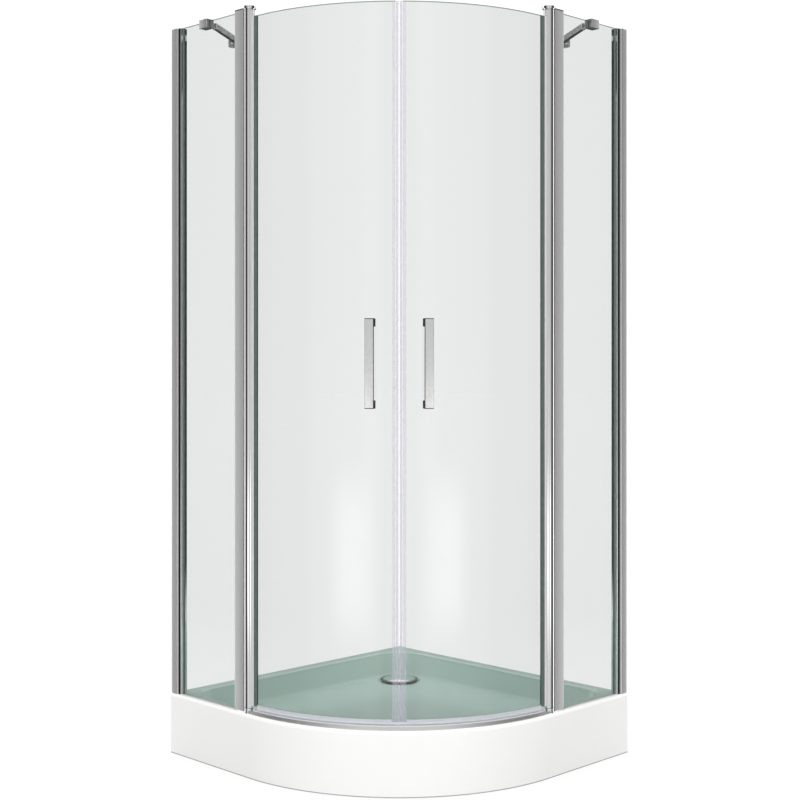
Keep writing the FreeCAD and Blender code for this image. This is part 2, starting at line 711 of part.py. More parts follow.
def top_pivot_bracket():
    """A plate plugged into the top of the post, with a round cap that stands out over the tube."""
    cap = rod(PIVOT_CAP_RADIUS, HINGE_S, GLASS_E, POST_TOP, GLASS_TOP + PIVOT_CAP)
    crown = max(cap.Faces, key=lambda face: face.CenterOfMass.z)
    cap = cap.makeChamfer(PIVOT_CAP_CHAMFER, crown.Edges)
    neck = rod(TUBE_RADIUS, HINGE_S, GLASS_E, GLASS_TOP, POST_TOP)
    plate = block(POST_S, HINGE_S, FACE_E, BACK_E, POST_TOP, POST_TOP + PIVOT_PLATE)
    outer = [edge for edge in upright_edges(plate) if edge.CenterOfMass.x < HINGE_S - CUP_RADIUS - HALF]
    plate = plate.makeFillet(PROFILE_EDGE_RADIUS, outer)
    body = cap.fuse([neck, plate, chamber_plug(POST_TOP - PIVOT_PLUG, POST_TOP)]).removeSplitter()
    return body.cut(rod(PIN_RADIUS + PRESS, HINGE_S, GLASS_E, GLASS_TOP - OVERRUN, GLASS_TOP + PIN_GRIP))


def bottom_pivot_bracket():
    """A plate under the post with a round foot below the tube and a toe to the threshold rail."""
    top = TRAY_HEIGHT + PIVOT_FOOT
    foot = rod(TUBE_RADIUS, HINGE_S, GLASS_E, TRAY_HEIGHT, top)
    plate = block(POST_S, HINGE_S, FACE_E, BACK_E, TRAY_HEIGHT, POST_BOTTOM)
    toe_half = RAIL_WIDTH / 2
    toe_top = TRAY_HEIGHT + TOE_HEIGHT
    toe = block(HINGE_S, BEND_S - FIT, GLASS_E - toe_half, GLASS_E + toe_half, TRAY_HEIGHT, toe_top)
    body = foot.fuse([plate, toe, chamber_plug(POST_BOTTOM, POST_BOTTOM + PIVOT_PLUG)]).removeSplitter()
    body = body.cut(glass_slot(POST_S - OVERRUN, POST_S + GLASS_POCKET, GASKET, POST_BOTTOM + OVERRUN))
    return body.cut(rod(PIN_RADIUS + PRESS, HINGE_S, GLASS_E, top - PIN_GRIP, top + OVERRUN))


def pivot_pins():
    """Steel pins held in the two brackets."""
    foot_top = TRAY_HEIGHT + PIVOT_FOOT
    return [
        rod(PIN_RADIUS, HINGE_S, GLASS_E, foot_top - PIN_GRIP, foot_top + PIN_REACH),
        rod(PIN_RADIUS, HINGE_S, GLASS_E, GLASS_TOP - PIN_REACH, GLASS_TOP + PIN_GRIP),
    ]


# Doors


def hinge_tube():
    """The turning tube, with a jaw along it that grips the door's glass."""
    tube = rod(TUBE_RADIUS, HINGE_S, GLASS_E, TUBE_BOTTOM, TUBE_TOP)
    wing = block(HINGE_S, WING_END, GLASS_E - WING_HALF, GLASS_E + WING_HALF, DOOR_BOTTOM, DOOR_TOP)
    outer = [edge for edge in upright_edges(wing) if edge.CenterOfMass.x > HINGE_S + TUBE_RADIUS - HALF]
    wing = wing.makeFillet(PROFILE_EDGE_RADIUS, outer)
    slot = glass_slot(DOOR_EDGE_S - POCKET_ROOM, WING_END + OVERRUN, DOOR_GASKET, DOOR_TOP + OVERRUN)
    body = tube.fuse(wing).cut(rod(TUBE_BORE, HINGE_S, GLASS_E, 0, GLASS_TOP)).cut(slot)
    return body.removeSplitter()


def pivot_bushes():
    """Flanged plastic bushes in the two ends of the tube."""
    bushes = []
    for end, way in ((TUBE_BOTTOM, 1), (TUBE_TOP, -1)):
        face = end - way * (BEARING_GAP - BEARING_PLAY)
        inner_end = end + way * BUSH_LENGTH
        outside = TUBE_BORE - PRESS
        bore = PIN_RADIUS + RUNNING
        outline = [
            (bore, face),
            (TUBE_BORE + BUSH_FLANGE, face),
            (TUBE_BORE + BUSH_FLANGE, end),
            (outside, end),
            (outside, inner_end),
            (bore, inner_end),
        ]
        bushes.append(turned(outline[::way], HINGE_S, GLASS_E))
    return bushes


def door_gaskets():
    """Strips that hold the glass in the tube's jaw, with lips that follow the start of its bend."""
    mouth = WING_END + FIT
    tip = FRONT_LEFT + arc_angle(DOOR_GASKET_BEND)
    z = DOOR_BOTTOM
    strips = []
    for side in (-1, 1):
        near = GLASS_E + side * (GLASS / 2 + FIT)
        far = GLASS_E + side * (GLASS / 2 + DOOR_GASKET - FIT)
        radius = TRAY_RADIUS - near
        corners = [
            polar(radius, tip, z),
            spot(mouth, far + side * GASKET_LIP_RISE, z),
            spot(mouth, far, z),
            spot(DOOR_EDGE_S, far, z),
            spot(DOOR_EDGE_S, near, z),
            polar(radius, FRONT_LEFT, z),
        ]
        outline = Part.makePolygon(corners).Edges + [arc_edge(radius, FRONT_LEFT, tip, z)]
        strips.append(Part.Face(Part.Wire(outline)).extrude(UP * DOOR_HEIGHT))
    return strips


def handle_angle():
    """The angle at which the handle stands on the door."""
    return MEETING - arc_angle(HANDLE_FROM_MEETING)


def handle_heights():
    """Heights of the handle's two screws."""
    half = (HANDLE_LENGTH - HANDLE_LEG) / 2
    return (HANDLE_CENTRE_HEIGHT - half, HANDLE_CENTRE_HEIGHT + half)


def on_door(shape):
    """Moves a shape from x out of the glass, y along it, to the handle's place on the door."""
    shape.rotate(FreeCAD.Vector(0, 0, 0), UP, handle_angle())
    shape.translate(polar(DOOR_RADIUS + GLASS / 2, handle_angle()))
    return shape


def across_glass(radius, start, end, z):
    """A round bar square to the glass at the handle, between two distances out from its face."""
    bar = Part.makeCylinder(radius, end - start, FreeCAD.Vector(start, 0, z), FreeCAD.Vector(1, 0, 0))
    return on_door(bar)


def glass_end():
    """The angle of the door glass's free edge."""
    return MEETING - arc_angle(MEETING_GAP + SEAL_NOSE)


def door_glass():
    """A pane that runs straight out of the jaw and then bends round the front."""
    inner = DOOR_RADIUS - GLASS / 2
    outer = DOOR_RADIUS + GLASS / 2
    z = DOOR_BOTTOM
    end = glass_end()
    jaw_outer = spot(DOOR_EDGE_S, TRAY_RADIUS - outer, z)
    jaw_inner = spot(DOOR_EDGE_S, TRAY_RADIUS - inner, z)
    edges = [
        Part.makeLine(jaw_outer, polar(outer, FRONT_LEFT, z)),
        arc_edge(outer, FRONT_LEFT, end, z),
        Part.makeLine(polar(outer, end, z), polar(inner, end, z)),
        arc_edge(inner, end, FRONT_LEFT, z),
        Part.makeLine(polar(inner, FRONT_LEFT, z), jaw_inner),
        Part.makeLine(jaw_inner, jaw_outer),
    ]
    pane = Part.Face(Part.Wire(edges)).extrude(UP * DOOR_HEIGHT)
    for height in handle_heights():
        pane = pane.cut(across_glass(GLASS_HOLE_RADIUS, -GLASS - OVERRUN, OVERRUN, height))
    return pane


def magnetic_seal():
    """A clip on the free edge of the glass with a hollow nose for the magnet."""
    half = GLASS / 2 + FIT
    nose = MEETING - arc_angle(MEETING_GAP)
    tail = glass_end() - arc_angle(SEAL_GRIP)
    grip = glass_end() + arc_angle(FIT)
    body = arc_wall(
        DOOR_RADIUS - half - SEAL_WALL, DOOR_RADIUS + half + SEAL_WALL, tail, nose, DOOR_BOTTOM, DOOR_TOP
    )
    bottom = DOOR_BOTTOM - OVERRUN
    top = DOOR_TOP + OVERRUN
    past_tail = tail - arc_angle(OVERRUN)
    body = body.cut(arc_wall(DOOR_RADIUS - half, DOOR_RADIUS + half, past_tail, grip, bottom, top))
    return body.cut(arc_wall(DOOR_RADIUS - half, DOOR_RADIUS + half, *magnet_span(0), bottom, top))


def magnet_span(room):
    """The angles between which the magnet lies in the nose."""
    inner = glass_end() + arc_angle(SEAL_WALL + room)
    outer = MEETING - arc_angle(MEETING_GAP + SEAL_WALL + room)
    return inner, outer


def magnet_strip():
    """A magnetic strip in the nose of the seal."""
    half = GLASS / 2 + FIT - MAGNET_ROOM
    start, end = magnet_span(MAGNET_ROOM)
    return arc_wall(DOOR_RADIUS - half, DOOR_RADIUS + half, start, end, DOOR_BOTTOM, DOOR_TOP)


def bottom_seal():
    """A clip along the foot of the glass, with a skirt and a fin that throws drips inwards."""
    near = GLASS / 2 + FIT
    far = near + SEAL_WALL
    web = DOOR_BOTTOM - FIT
    web_under = web - SKIRT_WEB
    foot = DOOR_BOTTOM - SKIRT_DROP
    start = FRONT_LEFT + arc_angle(DOOR_GASKET_BEND + SLIP)
    tail = glass_end() - arc_angle(SEAL_GRIP + SLIP)
    nose = MEETING - arc_angle(MEETING_GAP)
    fin_tip = DOOR_RADIUS - far - SKIRT_FIN
    skirt = [
        (DOOR_RADIUS + far, foot),
        (DOOR_RADIUS + far, web),
        (DOOR_RADIUS - far, web),
        (fin_tip, foot + SKIRT_FIN_RISE),
        (fin_tip + SEAL_WALL, foot),
        (DOOR_RADIUS - near, web_under),
        (DOOR_RADIUS + near, web_under),
        (DOOR_RADIUS + near, foot),
    ]
    seal = bent_rail(skirt, start, nose)
    for side in (-1, 1):
        edges = sorted((DOOR_RADIUS + side * near, DOOR_RADIUS + side * far))
        seal = seal.fuse(arc_wall(*edges, start, tail, web - FIT, DOOR_BOTTOM + SKIRT_GRIP))
    return seal.removeSplitter()


# Handles


def handle():
    """A flat bar bent back at both ends onto two legs."""
    reach = HANDLE_PAD + HANDLE_STANDOFF + HANDLE_BAR
    bottom = HANDLE_CENTRE_HEIGHT - HANDLE_LENGTH / 2
    side = -HANDLE_WIDTH / 2
    body = Part.makeBox(
        reach - HANDLE_PAD, HANDLE_WIDTH, HANDLE_LENGTH, FreeCAD.Vector(HANDLE_PAD, side, bottom)
    )
    gap = Part.makeBox(
        HANDLE_STANDOFF + OVERRUN,
        HANDLE_WIDTH + 2 * OVERRUN,
        HANDLE_LENGTH - 2 * HANDLE_LEG,
        FreeCAD.Vector(HANDLE_PAD - OVERRUN, side - OVERRUN, bottom + HANDLE_LEG),
    )
    bends = [edge for edge in gap.Edges if edge.CenterOfMass.x > reach - HANDLE_BAR - PRESS]
    bends = [edge for edge in bends if abs(edge.tangentAt(edge.FirstParameter).y) > ALIGNED_SHARE]
    body = body.cut(gap.makeFillet(HANDLE_BEND_RADIUS, bends))
    front = [edge for edge in body.Edges if edge.CenterOfMass.x > reach - PRESS]
    body = body.makeFillet(HANDLE_EDGE_RADIUS, front)
    for height in handle_heights():
        start = FreeCAD.Vector(HANDLE_PAD - OVERRUN, 0, height)
        depth = HANDLE_SCREW_GRIP + OVERRUN + FIT
        body = body.cut(Part.makeCylinder(HANDLE_SCREW_RADIUS + FIT, depth, start, FreeCAD.Vector(1, 0, 0)))
    return on_door(body)


def inside_face():
    """How far the pads on the inside of the glass lie from its outer face."""
    return -GLASS - HANDLE_PAD


def handle_screws():
    """Screws from inside through rosette, pads and glass into the handle's legs."""
    seat = inside_face() - ROSETTE_HEIGHT + HANDLE_SCREW_HEAD_HEIGHT
    along = FreeCAD.Vector(-1, 0, 0)
    sizes = (HANDLE_SCREW_RADIUS, HANDLE_SCREW_HEAD, HANDLE_SCREW_HEAD_HEIGHT)
    screws = []
    for height in handle_heights():
        tip = FreeCAD.Vector(HANDLE_PAD + HANDLE_SCREW_GRIP, 0, height)
        head = FreeCAD.Vector(seat, 0, height)
        screws.append(on_door(screw(tip, head, along, *sizes)))
    return screws


def handle_pads():
    """Thin pads between the glass and the legs outside, and the rosettes inside."""
    pads = []
    for height in handle_heights():
        bore = across_glass(HANDLE_SCREW_RADIUS + FIT, inside_face(), HANDLE_PAD, height)
        foot = Part.makeBox(
            HANDLE_PAD - 2 * FIT,
            HANDLE_WIDTH,
            HANDLE_LEG,
            FreeCAD.Vector(FIT, -HANDLE_WIDTH / 2, height - HANDLE_LEG / 2),
        )
        pads.append(on_door(foot).cut(bore))
        ring = across_glass(ROSETTE_RADIUS, inside_face() + FIT, -GLASS - 2 * FIT, height)
        pads.append(ring.cut(bore))
    return pads


def handle_rosettes():
    """Round washers inside, each with a recess for the head of its screw."""
    rosettes = []
    for height in handle_heights():
        outer = inside_face() - ROSETTE_HEIGHT
        disc = Part.makeCylinder(
            ROSETTE_RADIUS, ROSETTE_HEIGHT, FreeCAD.Vector(outer, 0, height), FreeCAD.Vector(1, 0, 0)
        )
        rim = [edge for edge in disc.Edges if edge.CenterOfMass.x < outer + PRESS]
        disc = on_door(disc.makeChamfer(ROSETTE_CHAMFER, rim))
        recess = across_glass(
            HANDLE_SCREW_HEAD + SLIP, outer - OVERRUN, outer + HANDLE_SCREW_HEAD_HEIGHT, height
        )
        bore = across_glass(HANDLE_SCREW_RADIUS + FIT, outer, inside_face() + OVERRUN, height)
        rosettes.append(disc.cut([recess, bore]))
    return rosettes


# Braces


def clamp_pivot():
    """Where the arm turns on the clamp, as (s, e)."""
    return CLAMP_S, GLASS_E + CLAMP_PIVOT


def foot_pivot():
    """Where the arm turns on the wall foot, as (s, e)."""
    return FOOT_PIVOT, FOOT_FROM_FRONT


def clamp_screw_places():
    """Distances from the wall of the clamp's two set screws."""
    half = CLAMP_SCREW_SPREAD / 2
    return (CLAMP_S - half, CLAMP_S + half)


def brace_clamp():
    """A block that sits over the panel's top edge, with a tongue for the arm."""
    start = CLAMP_S - CLAMP_WIDTH / 2
    end = start + CLAMP_WIDTH
    bottom = BRACE_Z - BRACE_HEIGHT / 2
    back = GLASS_E + CLAMP_BACK
    body = block(start, end, GLASS_E - CLAMP_FRONT, back, bottom, bottom + BRACE_HEIGHT)
    body = body.makeFillet(CLAMP_EDGE_RADIUS, upright_edges(body))
    s, e = clamp_pivot()
    width = ARM_WIDTH / 2
    low = BRACE_Z - TONGUE / 2
    high = BRACE_Z + TONGUE / 2
    tongue = block(s - width, s + width, back - SLIP, e, low, high).fuse(rod(width, s, e, low, high))
    body = body.fuse(tongue).removeSplitter()
    body = body.cut(glass_slot(start - OVERRUN, end + OVERRUN, FIT, GLASS_TOP))
    way = FreeCAD.Vector(0, 1, 0)
    for place in clamp_screw_places():
        middle = spot(place, GLASS_E, BRACE_Z)
        body = body.cut(Part.makeCylinder(CLAMP_SCREW_RADIUS + FIT, CLAMP_BACK + OVERRUN, middle, way))
    return body.cut(rod(BRACE_SCREW_RADIUS + FIT, s, e, 0, GLASS_TOP + BRACE_HEIGHT))


def brace_arm():
    """A bar from the clamp to the wall foot, forked over a tongue at each end."""
    start = spot(*clamp_pivot(), BRACE_Z)
    end = spot(*foot_pivot(), BRACE_Z)
    length = (end - start).Length
    width = ARM_WIDTH / 2
    low = -ARM_HEIGHT / 2
    bar = Part.makeBox(length, ARM_WIDTH, ARM_HEIGHT, FreeCAD.Vector(0, -width, low))
    fork_half = TONGUE / 2 + SLIP
    forks = []
    bores = []
    for place, way in ((0, 1), (length, -1)):
        pivot = FreeCAD.Vector(place, 0, low)
        bar = bar.fuse(Part.makeCylinder(width, ARM_HEIGHT, pivot))
        fork_start = min(place - way * ARM_WIDTH, place + way * FORK_DEPTH)
        corner = FreeCAD.Vector(fork_start, -ARM_WIDTH, -fork_half)
        forks.append(Part.makeBox(ARM_WIDTH + FORK_DEPTH, 2 * ARM_WIDTH, 2 * fork_half, corner))
        bores.append(Part.makeCylinder(BRACE_SCREW_RADIUS + FIT, ARM_HEIGHT, pivot))
    bar = bar.removeSplitter().cut(forks + bores)
    bar.rotate(FreeCAD.Vector(0, 0, 0), UP, degrees(atan2(end.y - start.y, end.x - start.x)))
    bar.translate(start)
    return bar


def brace_wall_foot():
    """A plate screwed to the wall, with a tongue for the arm."""
    s, e = foot_pivot()
    width = ARM_WIDTH / 2
    bottom = BRACE_Z - BRACE_HEIGHT / 2
    low = BRACE_Z - TONGUE / 2
    high = BRACE_Z + TONGUE / 2
    half = FOOT_LENGTH / 2
    plate = block(0, FOOT_THICKNESS, e - half, e + half, bottom, bottom + BRACE_HEIGHT)
    front = [edge for edge in plate.Edges if edge.CenterOfMass.x > FOOT_THICKNESS - PRESS - HALF]
    plate = plate.makeFillet(CLAMP_EDGE_RADIUS, front)
    tongue = block(FOOT_THICKNESS - SLIP, s, e - width, e + width, low, high)
    body = plate.fuse([tongue, rod(width, s, e, low, high)]).removeSplitter()
    way = FreeCAD.Vector(1, 0, 0)
    for side in (-1, 1):
        start = spot(-OVERRUN, e + side * FOOT_HOLE_SPACING / 2, BRACE_Z)
        body = body.cut(Part.makeCylinder(FOOT_HOLE_RADIUS, FOOT_THICKNESS + 2 * OVERRUN, start, way))
    return body.cut(rod(BRACE_SCREW_RADIUS + FIT, s, e, 0, GLASS_TOP + BRACE_HEIGHT))


def brace_screws():
    """Pivot screws through both forks and set screws that grip the panel."""
    screws = []
    for s, e in (clamp_pivot(), foot_pivot()):
        head = spot(s, e, BRACE_Z - ARM_HEIGHT / 2)
        tip = spot(s, e, BRACE_Z + ARM_HEIGHT / 2)
        screws.append(screw(tip, head, -UP, BRACE_SCREW_RADIUS, BRACE_SCREW_HEAD, BRACE_SCREW_HEAD_HEIGHT))
    for place in clamp_screw_places():
        start = spot(place, GLASS_E + GLASS / 2 + FIT, BRACE_Z)
        reach = CLAMP_BACK - GLASS / 2 - FIT
        way = FreeCAD.Vector(0, 1, 0)
        body = Part.makeCylinder(CLAMP_SCREW_RADIUS, reach, start, way)
        end = start + way * reach
        screws.append(body.cut(hexagon(end, -way, CLAMP_SCREW_RADIUS * SOCKET_SHARE, SET_SCREW_SOCKET_DEPTH)))
    return screws


# Threshold


def threshold_rail():
    """A low hollow rail round the front that the doors' skirts close over."""
    inner = DOOR_RADIUS - RAIL_WIDTH / 2
    outer = DOOR_RADIUS + RAIL_WIDTH / 2
    top = TRAY_HEIGHT + RAIL_HEIGHT
    section = [
        (outer, TRAY_HEIGHT),
        (outer, top - RAIL_SLOPE / 2),
        (outer - RAIL_SLOPE / 2, top),
        (inner + RAIL_SLOPE, top),
        (inner, TRAY_HEIGHT),
        (inner + RAIL_WALL, TRAY_HEIGHT),
        (inner + RAIL_WALL + RAIL_SLOPE, top - RAIL_WALL),
        (outer - RAIL_WALL, top - RAIL_WALL),
        (outer - RAIL_WALL, TRAY_HEIGHT),
    ]
    return bent_rail(section, FRONT_LEFT, FRONT_RIGHT)


# Files


def mirrored(shape):
    """The right-hand twin of a left-hand shape."""
    return shape.mirror(FreeCAD.Vector(0, 0, 0), FreeCAD.Vector(1, 1, 0))


def save(name, made):
    """Writes one named piece, or a set of like pieces, as its own file."""
    solids = [solid for shape in (made if isinstance(made, list) else [made]) for solid in shape.Solids]
    shape = solids[0] if len(solids) == 1 else Part.makeCompound(solids)
    shape.exportStep(os.path.join("parts", name + ".step"))


SHARED = (
    tray_shell,
    tray_base_board,
    foot_rods,
    foot_nuts,
    foot_pads,
    waste_flange,
    waste_seals,
    waste_trap,
    drain_cover,
    threshold_rail,
)
PAIRED = (
    wall_channel,
    wall_channel_cap,
    adjusting_profile,
    profile_screws,
    fixed_glass,
    glazing_gaskets,
    hinge_post,
    top_pivot_bracket,
    bottom_pivot_bracket,
    pivot_pins,
    hinge_tube,
    pivot_bushes,
    door_gaskets,
    door_glass,
    magnetic_seal,
    magnet_strip,
    bottom_seal,
    handle,
    handle_screws,
    handle_pads,
    handle_rosettes,
    brace_clamp,
    brace_arm,
    brace_wall_foot,
    brace_screws,
)

os.makedirs("parts", exist_ok=True)
for piece in SHARED:
    save(piece.__name__, piece())
for piece in PAIRED:
    shapes = piece()
    shapes = shapes if isinstance(shapes, list) else [shapes]
    save("left_" + piece.__name__, shapes)
    save("right_" + piece.__name__, [mirrored(shape) for shape in shapes])
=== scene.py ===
import json
from math import pi, radians

import bmesh
import bpy
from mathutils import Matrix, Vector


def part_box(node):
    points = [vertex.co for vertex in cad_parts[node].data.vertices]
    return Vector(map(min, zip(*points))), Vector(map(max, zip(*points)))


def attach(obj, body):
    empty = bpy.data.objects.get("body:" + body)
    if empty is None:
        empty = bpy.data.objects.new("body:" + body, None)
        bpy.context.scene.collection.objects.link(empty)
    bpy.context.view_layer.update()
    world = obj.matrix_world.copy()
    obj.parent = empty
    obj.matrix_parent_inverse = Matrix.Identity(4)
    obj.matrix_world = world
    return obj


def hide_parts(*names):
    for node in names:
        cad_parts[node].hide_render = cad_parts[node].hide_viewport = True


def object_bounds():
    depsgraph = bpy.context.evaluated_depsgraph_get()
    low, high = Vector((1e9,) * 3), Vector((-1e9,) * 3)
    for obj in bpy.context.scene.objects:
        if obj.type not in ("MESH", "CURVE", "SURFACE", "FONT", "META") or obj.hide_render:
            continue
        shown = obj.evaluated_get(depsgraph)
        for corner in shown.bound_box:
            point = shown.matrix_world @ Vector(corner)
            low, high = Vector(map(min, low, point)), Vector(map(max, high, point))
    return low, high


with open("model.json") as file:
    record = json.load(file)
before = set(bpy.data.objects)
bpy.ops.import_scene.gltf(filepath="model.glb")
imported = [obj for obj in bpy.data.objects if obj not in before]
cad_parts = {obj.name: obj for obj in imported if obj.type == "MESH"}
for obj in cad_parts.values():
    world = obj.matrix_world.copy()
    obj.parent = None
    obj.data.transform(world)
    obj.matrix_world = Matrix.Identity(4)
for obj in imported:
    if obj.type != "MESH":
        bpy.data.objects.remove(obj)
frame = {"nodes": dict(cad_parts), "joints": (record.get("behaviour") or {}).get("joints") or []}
cad_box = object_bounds()

# Tray shell. One sheet of white acrylic, drawn down hot over a mould: skirt, rim and basin in one.
# Inside the line of the glass it is painted a pale sea-green, darker than the white: partly its own
# cast and partly a painted shade. The floor and the top of the rim are painted darker than the basin
# walls, as painted shade. The skirt and the back stay white, and a grey band painted along the foot
# of the skirt is a painted contact shadow.


def finish(name, **sockets):
    """A surface finish: its material, its node tree and its shader with the sockets set."""
    material = bpy.data.materials.new(name)
    material.use_nodes = True
    tree = material.node_tree
    shader = tree.nodes["Principled BSDF"]
    for socket, value in sockets.items():
        shader.inputs[socket.replace("_", " ")].default_value = value
    return material, tree, shader


def put(tree, kind, inputs=None, **settings):
    """A node with its settings; each input takes a value or the output of another node."""
    node = tree.nodes.new(kind)
    for name, value in settings.items():
        setattr(node, name, value)
    for key, value in (inputs or {}).items():
        if isinstance(value, bpy.types.NodeSocket):
            tree.links.new(value, node.inputs[key])
        else:
            node.inputs[key].default_value = value
    return node


def drive(tree, shader, **patterns):
    """Lets patterns set sockets of the shader, point by point."""
    for socket, pattern in patterns.items():
        tree.links.new(pattern, shader.inputs[socket.replace("_", " ")])


def place(tree, stretch=(1, 1, 1)):
    """Where a point lies on the piece, in metres, stretched for patterns with a direction."""
    where = put(tree, "ShaderNodeTexCoord").outputs["Object"]
    return put(tree, "ShaderNodeMapping", {"Vector": where, "Scale": stretch}).outputs[0]


def axes(tree, vector):
    """The x, y and z of a place or a direction."""
    return put(tree, "ShaderNodeSeparateXYZ", {0: vector}).outputs


def reckon(tree, operation, *values):
    """Arithmetic on numbers and patterns."""
    return put(tree, "ShaderNodeMath", dict(enumerate(values)), operation=operation).outputs[0]


def reckon_vector(tree, operation, *vectors):
    """Arithmetic on places and directions, which gives a vector or a value."""
    return put(tree, "ShaderNodeVectorMath", dict(enumerate(vectors)), operation=operation).outputs


def cloudy(tree, where, per_metre, detail=2.0):
    """A soft cloudy pattern, with so many clouds to the metre."""
    inputs = {"Vector": where, "Scale": per_metre, "Detail": detail}
    return put(tree, "ShaderNodeTexNoise", inputs).outputs["Fac"]


def span(tree, value, low, high, start=0.3, end=0.7):
    """A pattern's values from the start to the end, brought between two limits."""
    inputs = {"Value": value, "From Min": start, "From Max": end, "To Min": low, "To Max": high}
    return put(tree, "ShaderNodeMapRange", inputs).outputs[0]


def mask(tree, value, start, end, ease="LINEAR"):
    """A rise from 0, where the value is at the start, to 1, where it is at the end."""
    inputs = {"Value": value, "From Min": start, "From Max": end}
    return put(tree, "ShaderNodeMapRange", inputs, interpolation_type=ease).outputs[0]


def tint(tree, value, *colours):
    """A colour between two others, each of them a fixed colour or a pattern."""
    first, second = (c if isinstance(c, bpy.types.NodeSocket) else (*c, 1) for c in colours)
    return put(tree, "ShaderNodeMix", {0: value, 6: first, 7: second}, data_type="RGBA").outputs[2]


def mottled(tree, where, colours, per_metre, detail=2.0):
    """A colour that drifts between two others in soft clouds."""
    return tint(tree, cloudy(tree, where, per_metre, detail), *colours)


def relief(tree, shader, height, strength, depth):
    """Fine unevenness of a surface."""
    bump = put(tree, "ShaderNodeBump", {"Height": height, "Strength": strength, "Distance": depth})
    drive(tree, shader, Normal=bump.outputs[0])


CRISP_FROM = radians(32)
SAME_POINT = 1e-5


def even_shading():
    """Shades the turned and bent faces of a solid as round, and keeps its edges crisp."""
    group = bpy.data.node_groups.new("even_shading", "GeometryNodeTree")
    for way in ("INPUT", "OUTPUT"):
        group.interface.new_socket("Geometry", in_out=way, socket_type="NodeSocketGeometry")
    solid = put(group, "NodeGroupInput").outputs[0]
    inputs = {"Geometry": solid, "Distance": SAME_POINT}
    joined = put(group, "GeometryNodeMergeByDistance", inputs).outputs[0]
    inputs = {0: put(group, "GeometryNodeInputMeshEdgeAngle").outputs[0], 1: CRISP_FROM}
    flat = put(group, "FunctionNodeCompare", inputs, operation="LESS_THAN").outputs[0]
    inputs = {"Geometry": joined, "Shade Smooth": flat}
    edges = put(group, "GeometryNodeSetShadeSmooth", inputs, domain="EDGE").outputs[0]
    inputs = {"Geometry": edges, "Shade Smooth": True}
    faces = put(group, "GeometryNodeSetShadeSmooth", inputs).outputs[0]
    put(group, "NodeGroupOutput", {0: faces})
    return group


EVEN = even_shading()


def dress(material, *names):
    """Gives pieces their finish and even shading."""
    for name in names:
        piece = frame["nodes"][name]
        piece.data.materials.clear()
        piece.data.materials.append(material)
        piece.modifiers.new("even_shading", "NODES").node_group = EVEN


FRONT_RADIUS = 0.55
GLASS_INSET, LINE_BLUR = 0.0255, 0.003
WALL_MARGIN, BASIN_LOW, EDGE_BLUR = 0.001, 0.098, 0.001
CONTACT_SHADOW_HEIGHT, CONTACT_SHADOW_BLUR = 0.0025, 0.0005
FLOOR_SLOPE = (0.5, 0.98)
RIM_RISE = (0.155, 0.162)
SKIRT_WHITE = ((0.84, 0.84, 0.83), (0.87, 0.87, 0.86))
# The floor and rim greens are darker copies of the wall green: painted shade.
SHADED_FLOOR_GREEN = ((0.44, 0.565, 0.52), (0.475, 0.605, 0.56))
WALL_GREEN = ((0.53, 0.68, 0.625), (0.565, 0.72, 0.665))
SHADED_RIM_GREEN = ((0.475, 0.61, 0.562), (0.515, 0.65, 0.602))
# The grey at the foot of the skirt is a painted contact shadow.
CONTACT_SHADOW_GREY = (0.34, 0.34, 0.33)
bend_x = cad_box[1][0] - FRONT_RADIUS
bend_y = cad_box[0][1] + FRONT_RADIUS
glass_line = FRONT_RADIUS - GLASS_INSET
wall_face = cad_box[1][1] - WALL_MARGIN
acrylic, tree, shader = finish("white_acrylic", Specular_IOR_Level=0.3)
where = place(tree)
x, y, z = axes(tree, where)
along = reckon(tree, "MAXIMUM", reckon(tree, "SUBTRACT", x, bend_x), 0.0)
across = reckon(tree, "MAXIMUM", reckon(tree, "SUBTRACT", bend_y, y), 0.0)
from_bend = put(tree, "ShaderNodeCombineXYZ", {0: along, 1: across}).outputs[0]
from_bend = reckon_vector(tree, "LENGTH", from_bend)["Value"]
inside = mask(tree, from_bend, glass_line + LINE_BLUR, glass_line - LINE_BLUR)
for value, start, end in (
    (x, -wall_face, EDGE_BLUR - wall_face),
    (y, wall_face, wall_face - EDGE_BLUR),
    (z, BASIN_LOW, BASIN_LOW + EDGE_BLUR),
):
    inside = reckon(tree, "MULTIPLY", inside, mask(tree, value, start, end))
white = mottled(tree, where, SKIRT_WHITE, per_metre=5)
shaded_floor_green = mottled(tree, where, SHADED_FLOOR_GREEN, per_metre=7, detail=3)
wall_green = mottled(tree, where, WALL_GREEN, per_metre=7, detail=3)
shaded_rim_green = mottled(tree, where, SHADED_RIM_GREEN, per_metre=7, detail=3)
upward = axes(tree, put(tree, "ShaderNodeTexCoord").outputs["Normal"])[2]
# Upward faces of the floor and the top of the rim take the darker greens, a painted shade.
green = tint(tree, mask(tree, upward, *FLOOR_SLOPE), wall_green, shaded_floor_green)
green = tint(tree, mask(tree, z, *RIM_RISE), green, shaded_rim_green)
skin = tint(tree, inside, white, green)
# A grey band painted along the foot of the skirt: a painted contact shadow.
contact_shadow = mask(tree, z, CONTACT_SHADOW_HEIGHT + CONTACT_SHADOW_BLUR, CONTACT_SHADOW_HEIGHT - CONTACT_SHADOW_BLUR)
gloss = span(tree, cloudy(tree, where, per_metre=60), low=0.14, high=0.24)
drive(tree, shader, Base_Color=tint(tree, contact_shadow, skin, CONTACT_SHADOW_GREY), Roughness=gloss)
relief(tree, shader, cloudy(tree, where, per_metre=240), strength=0.03, depth=0.0004)
dress(acrylic, "tray_shell")

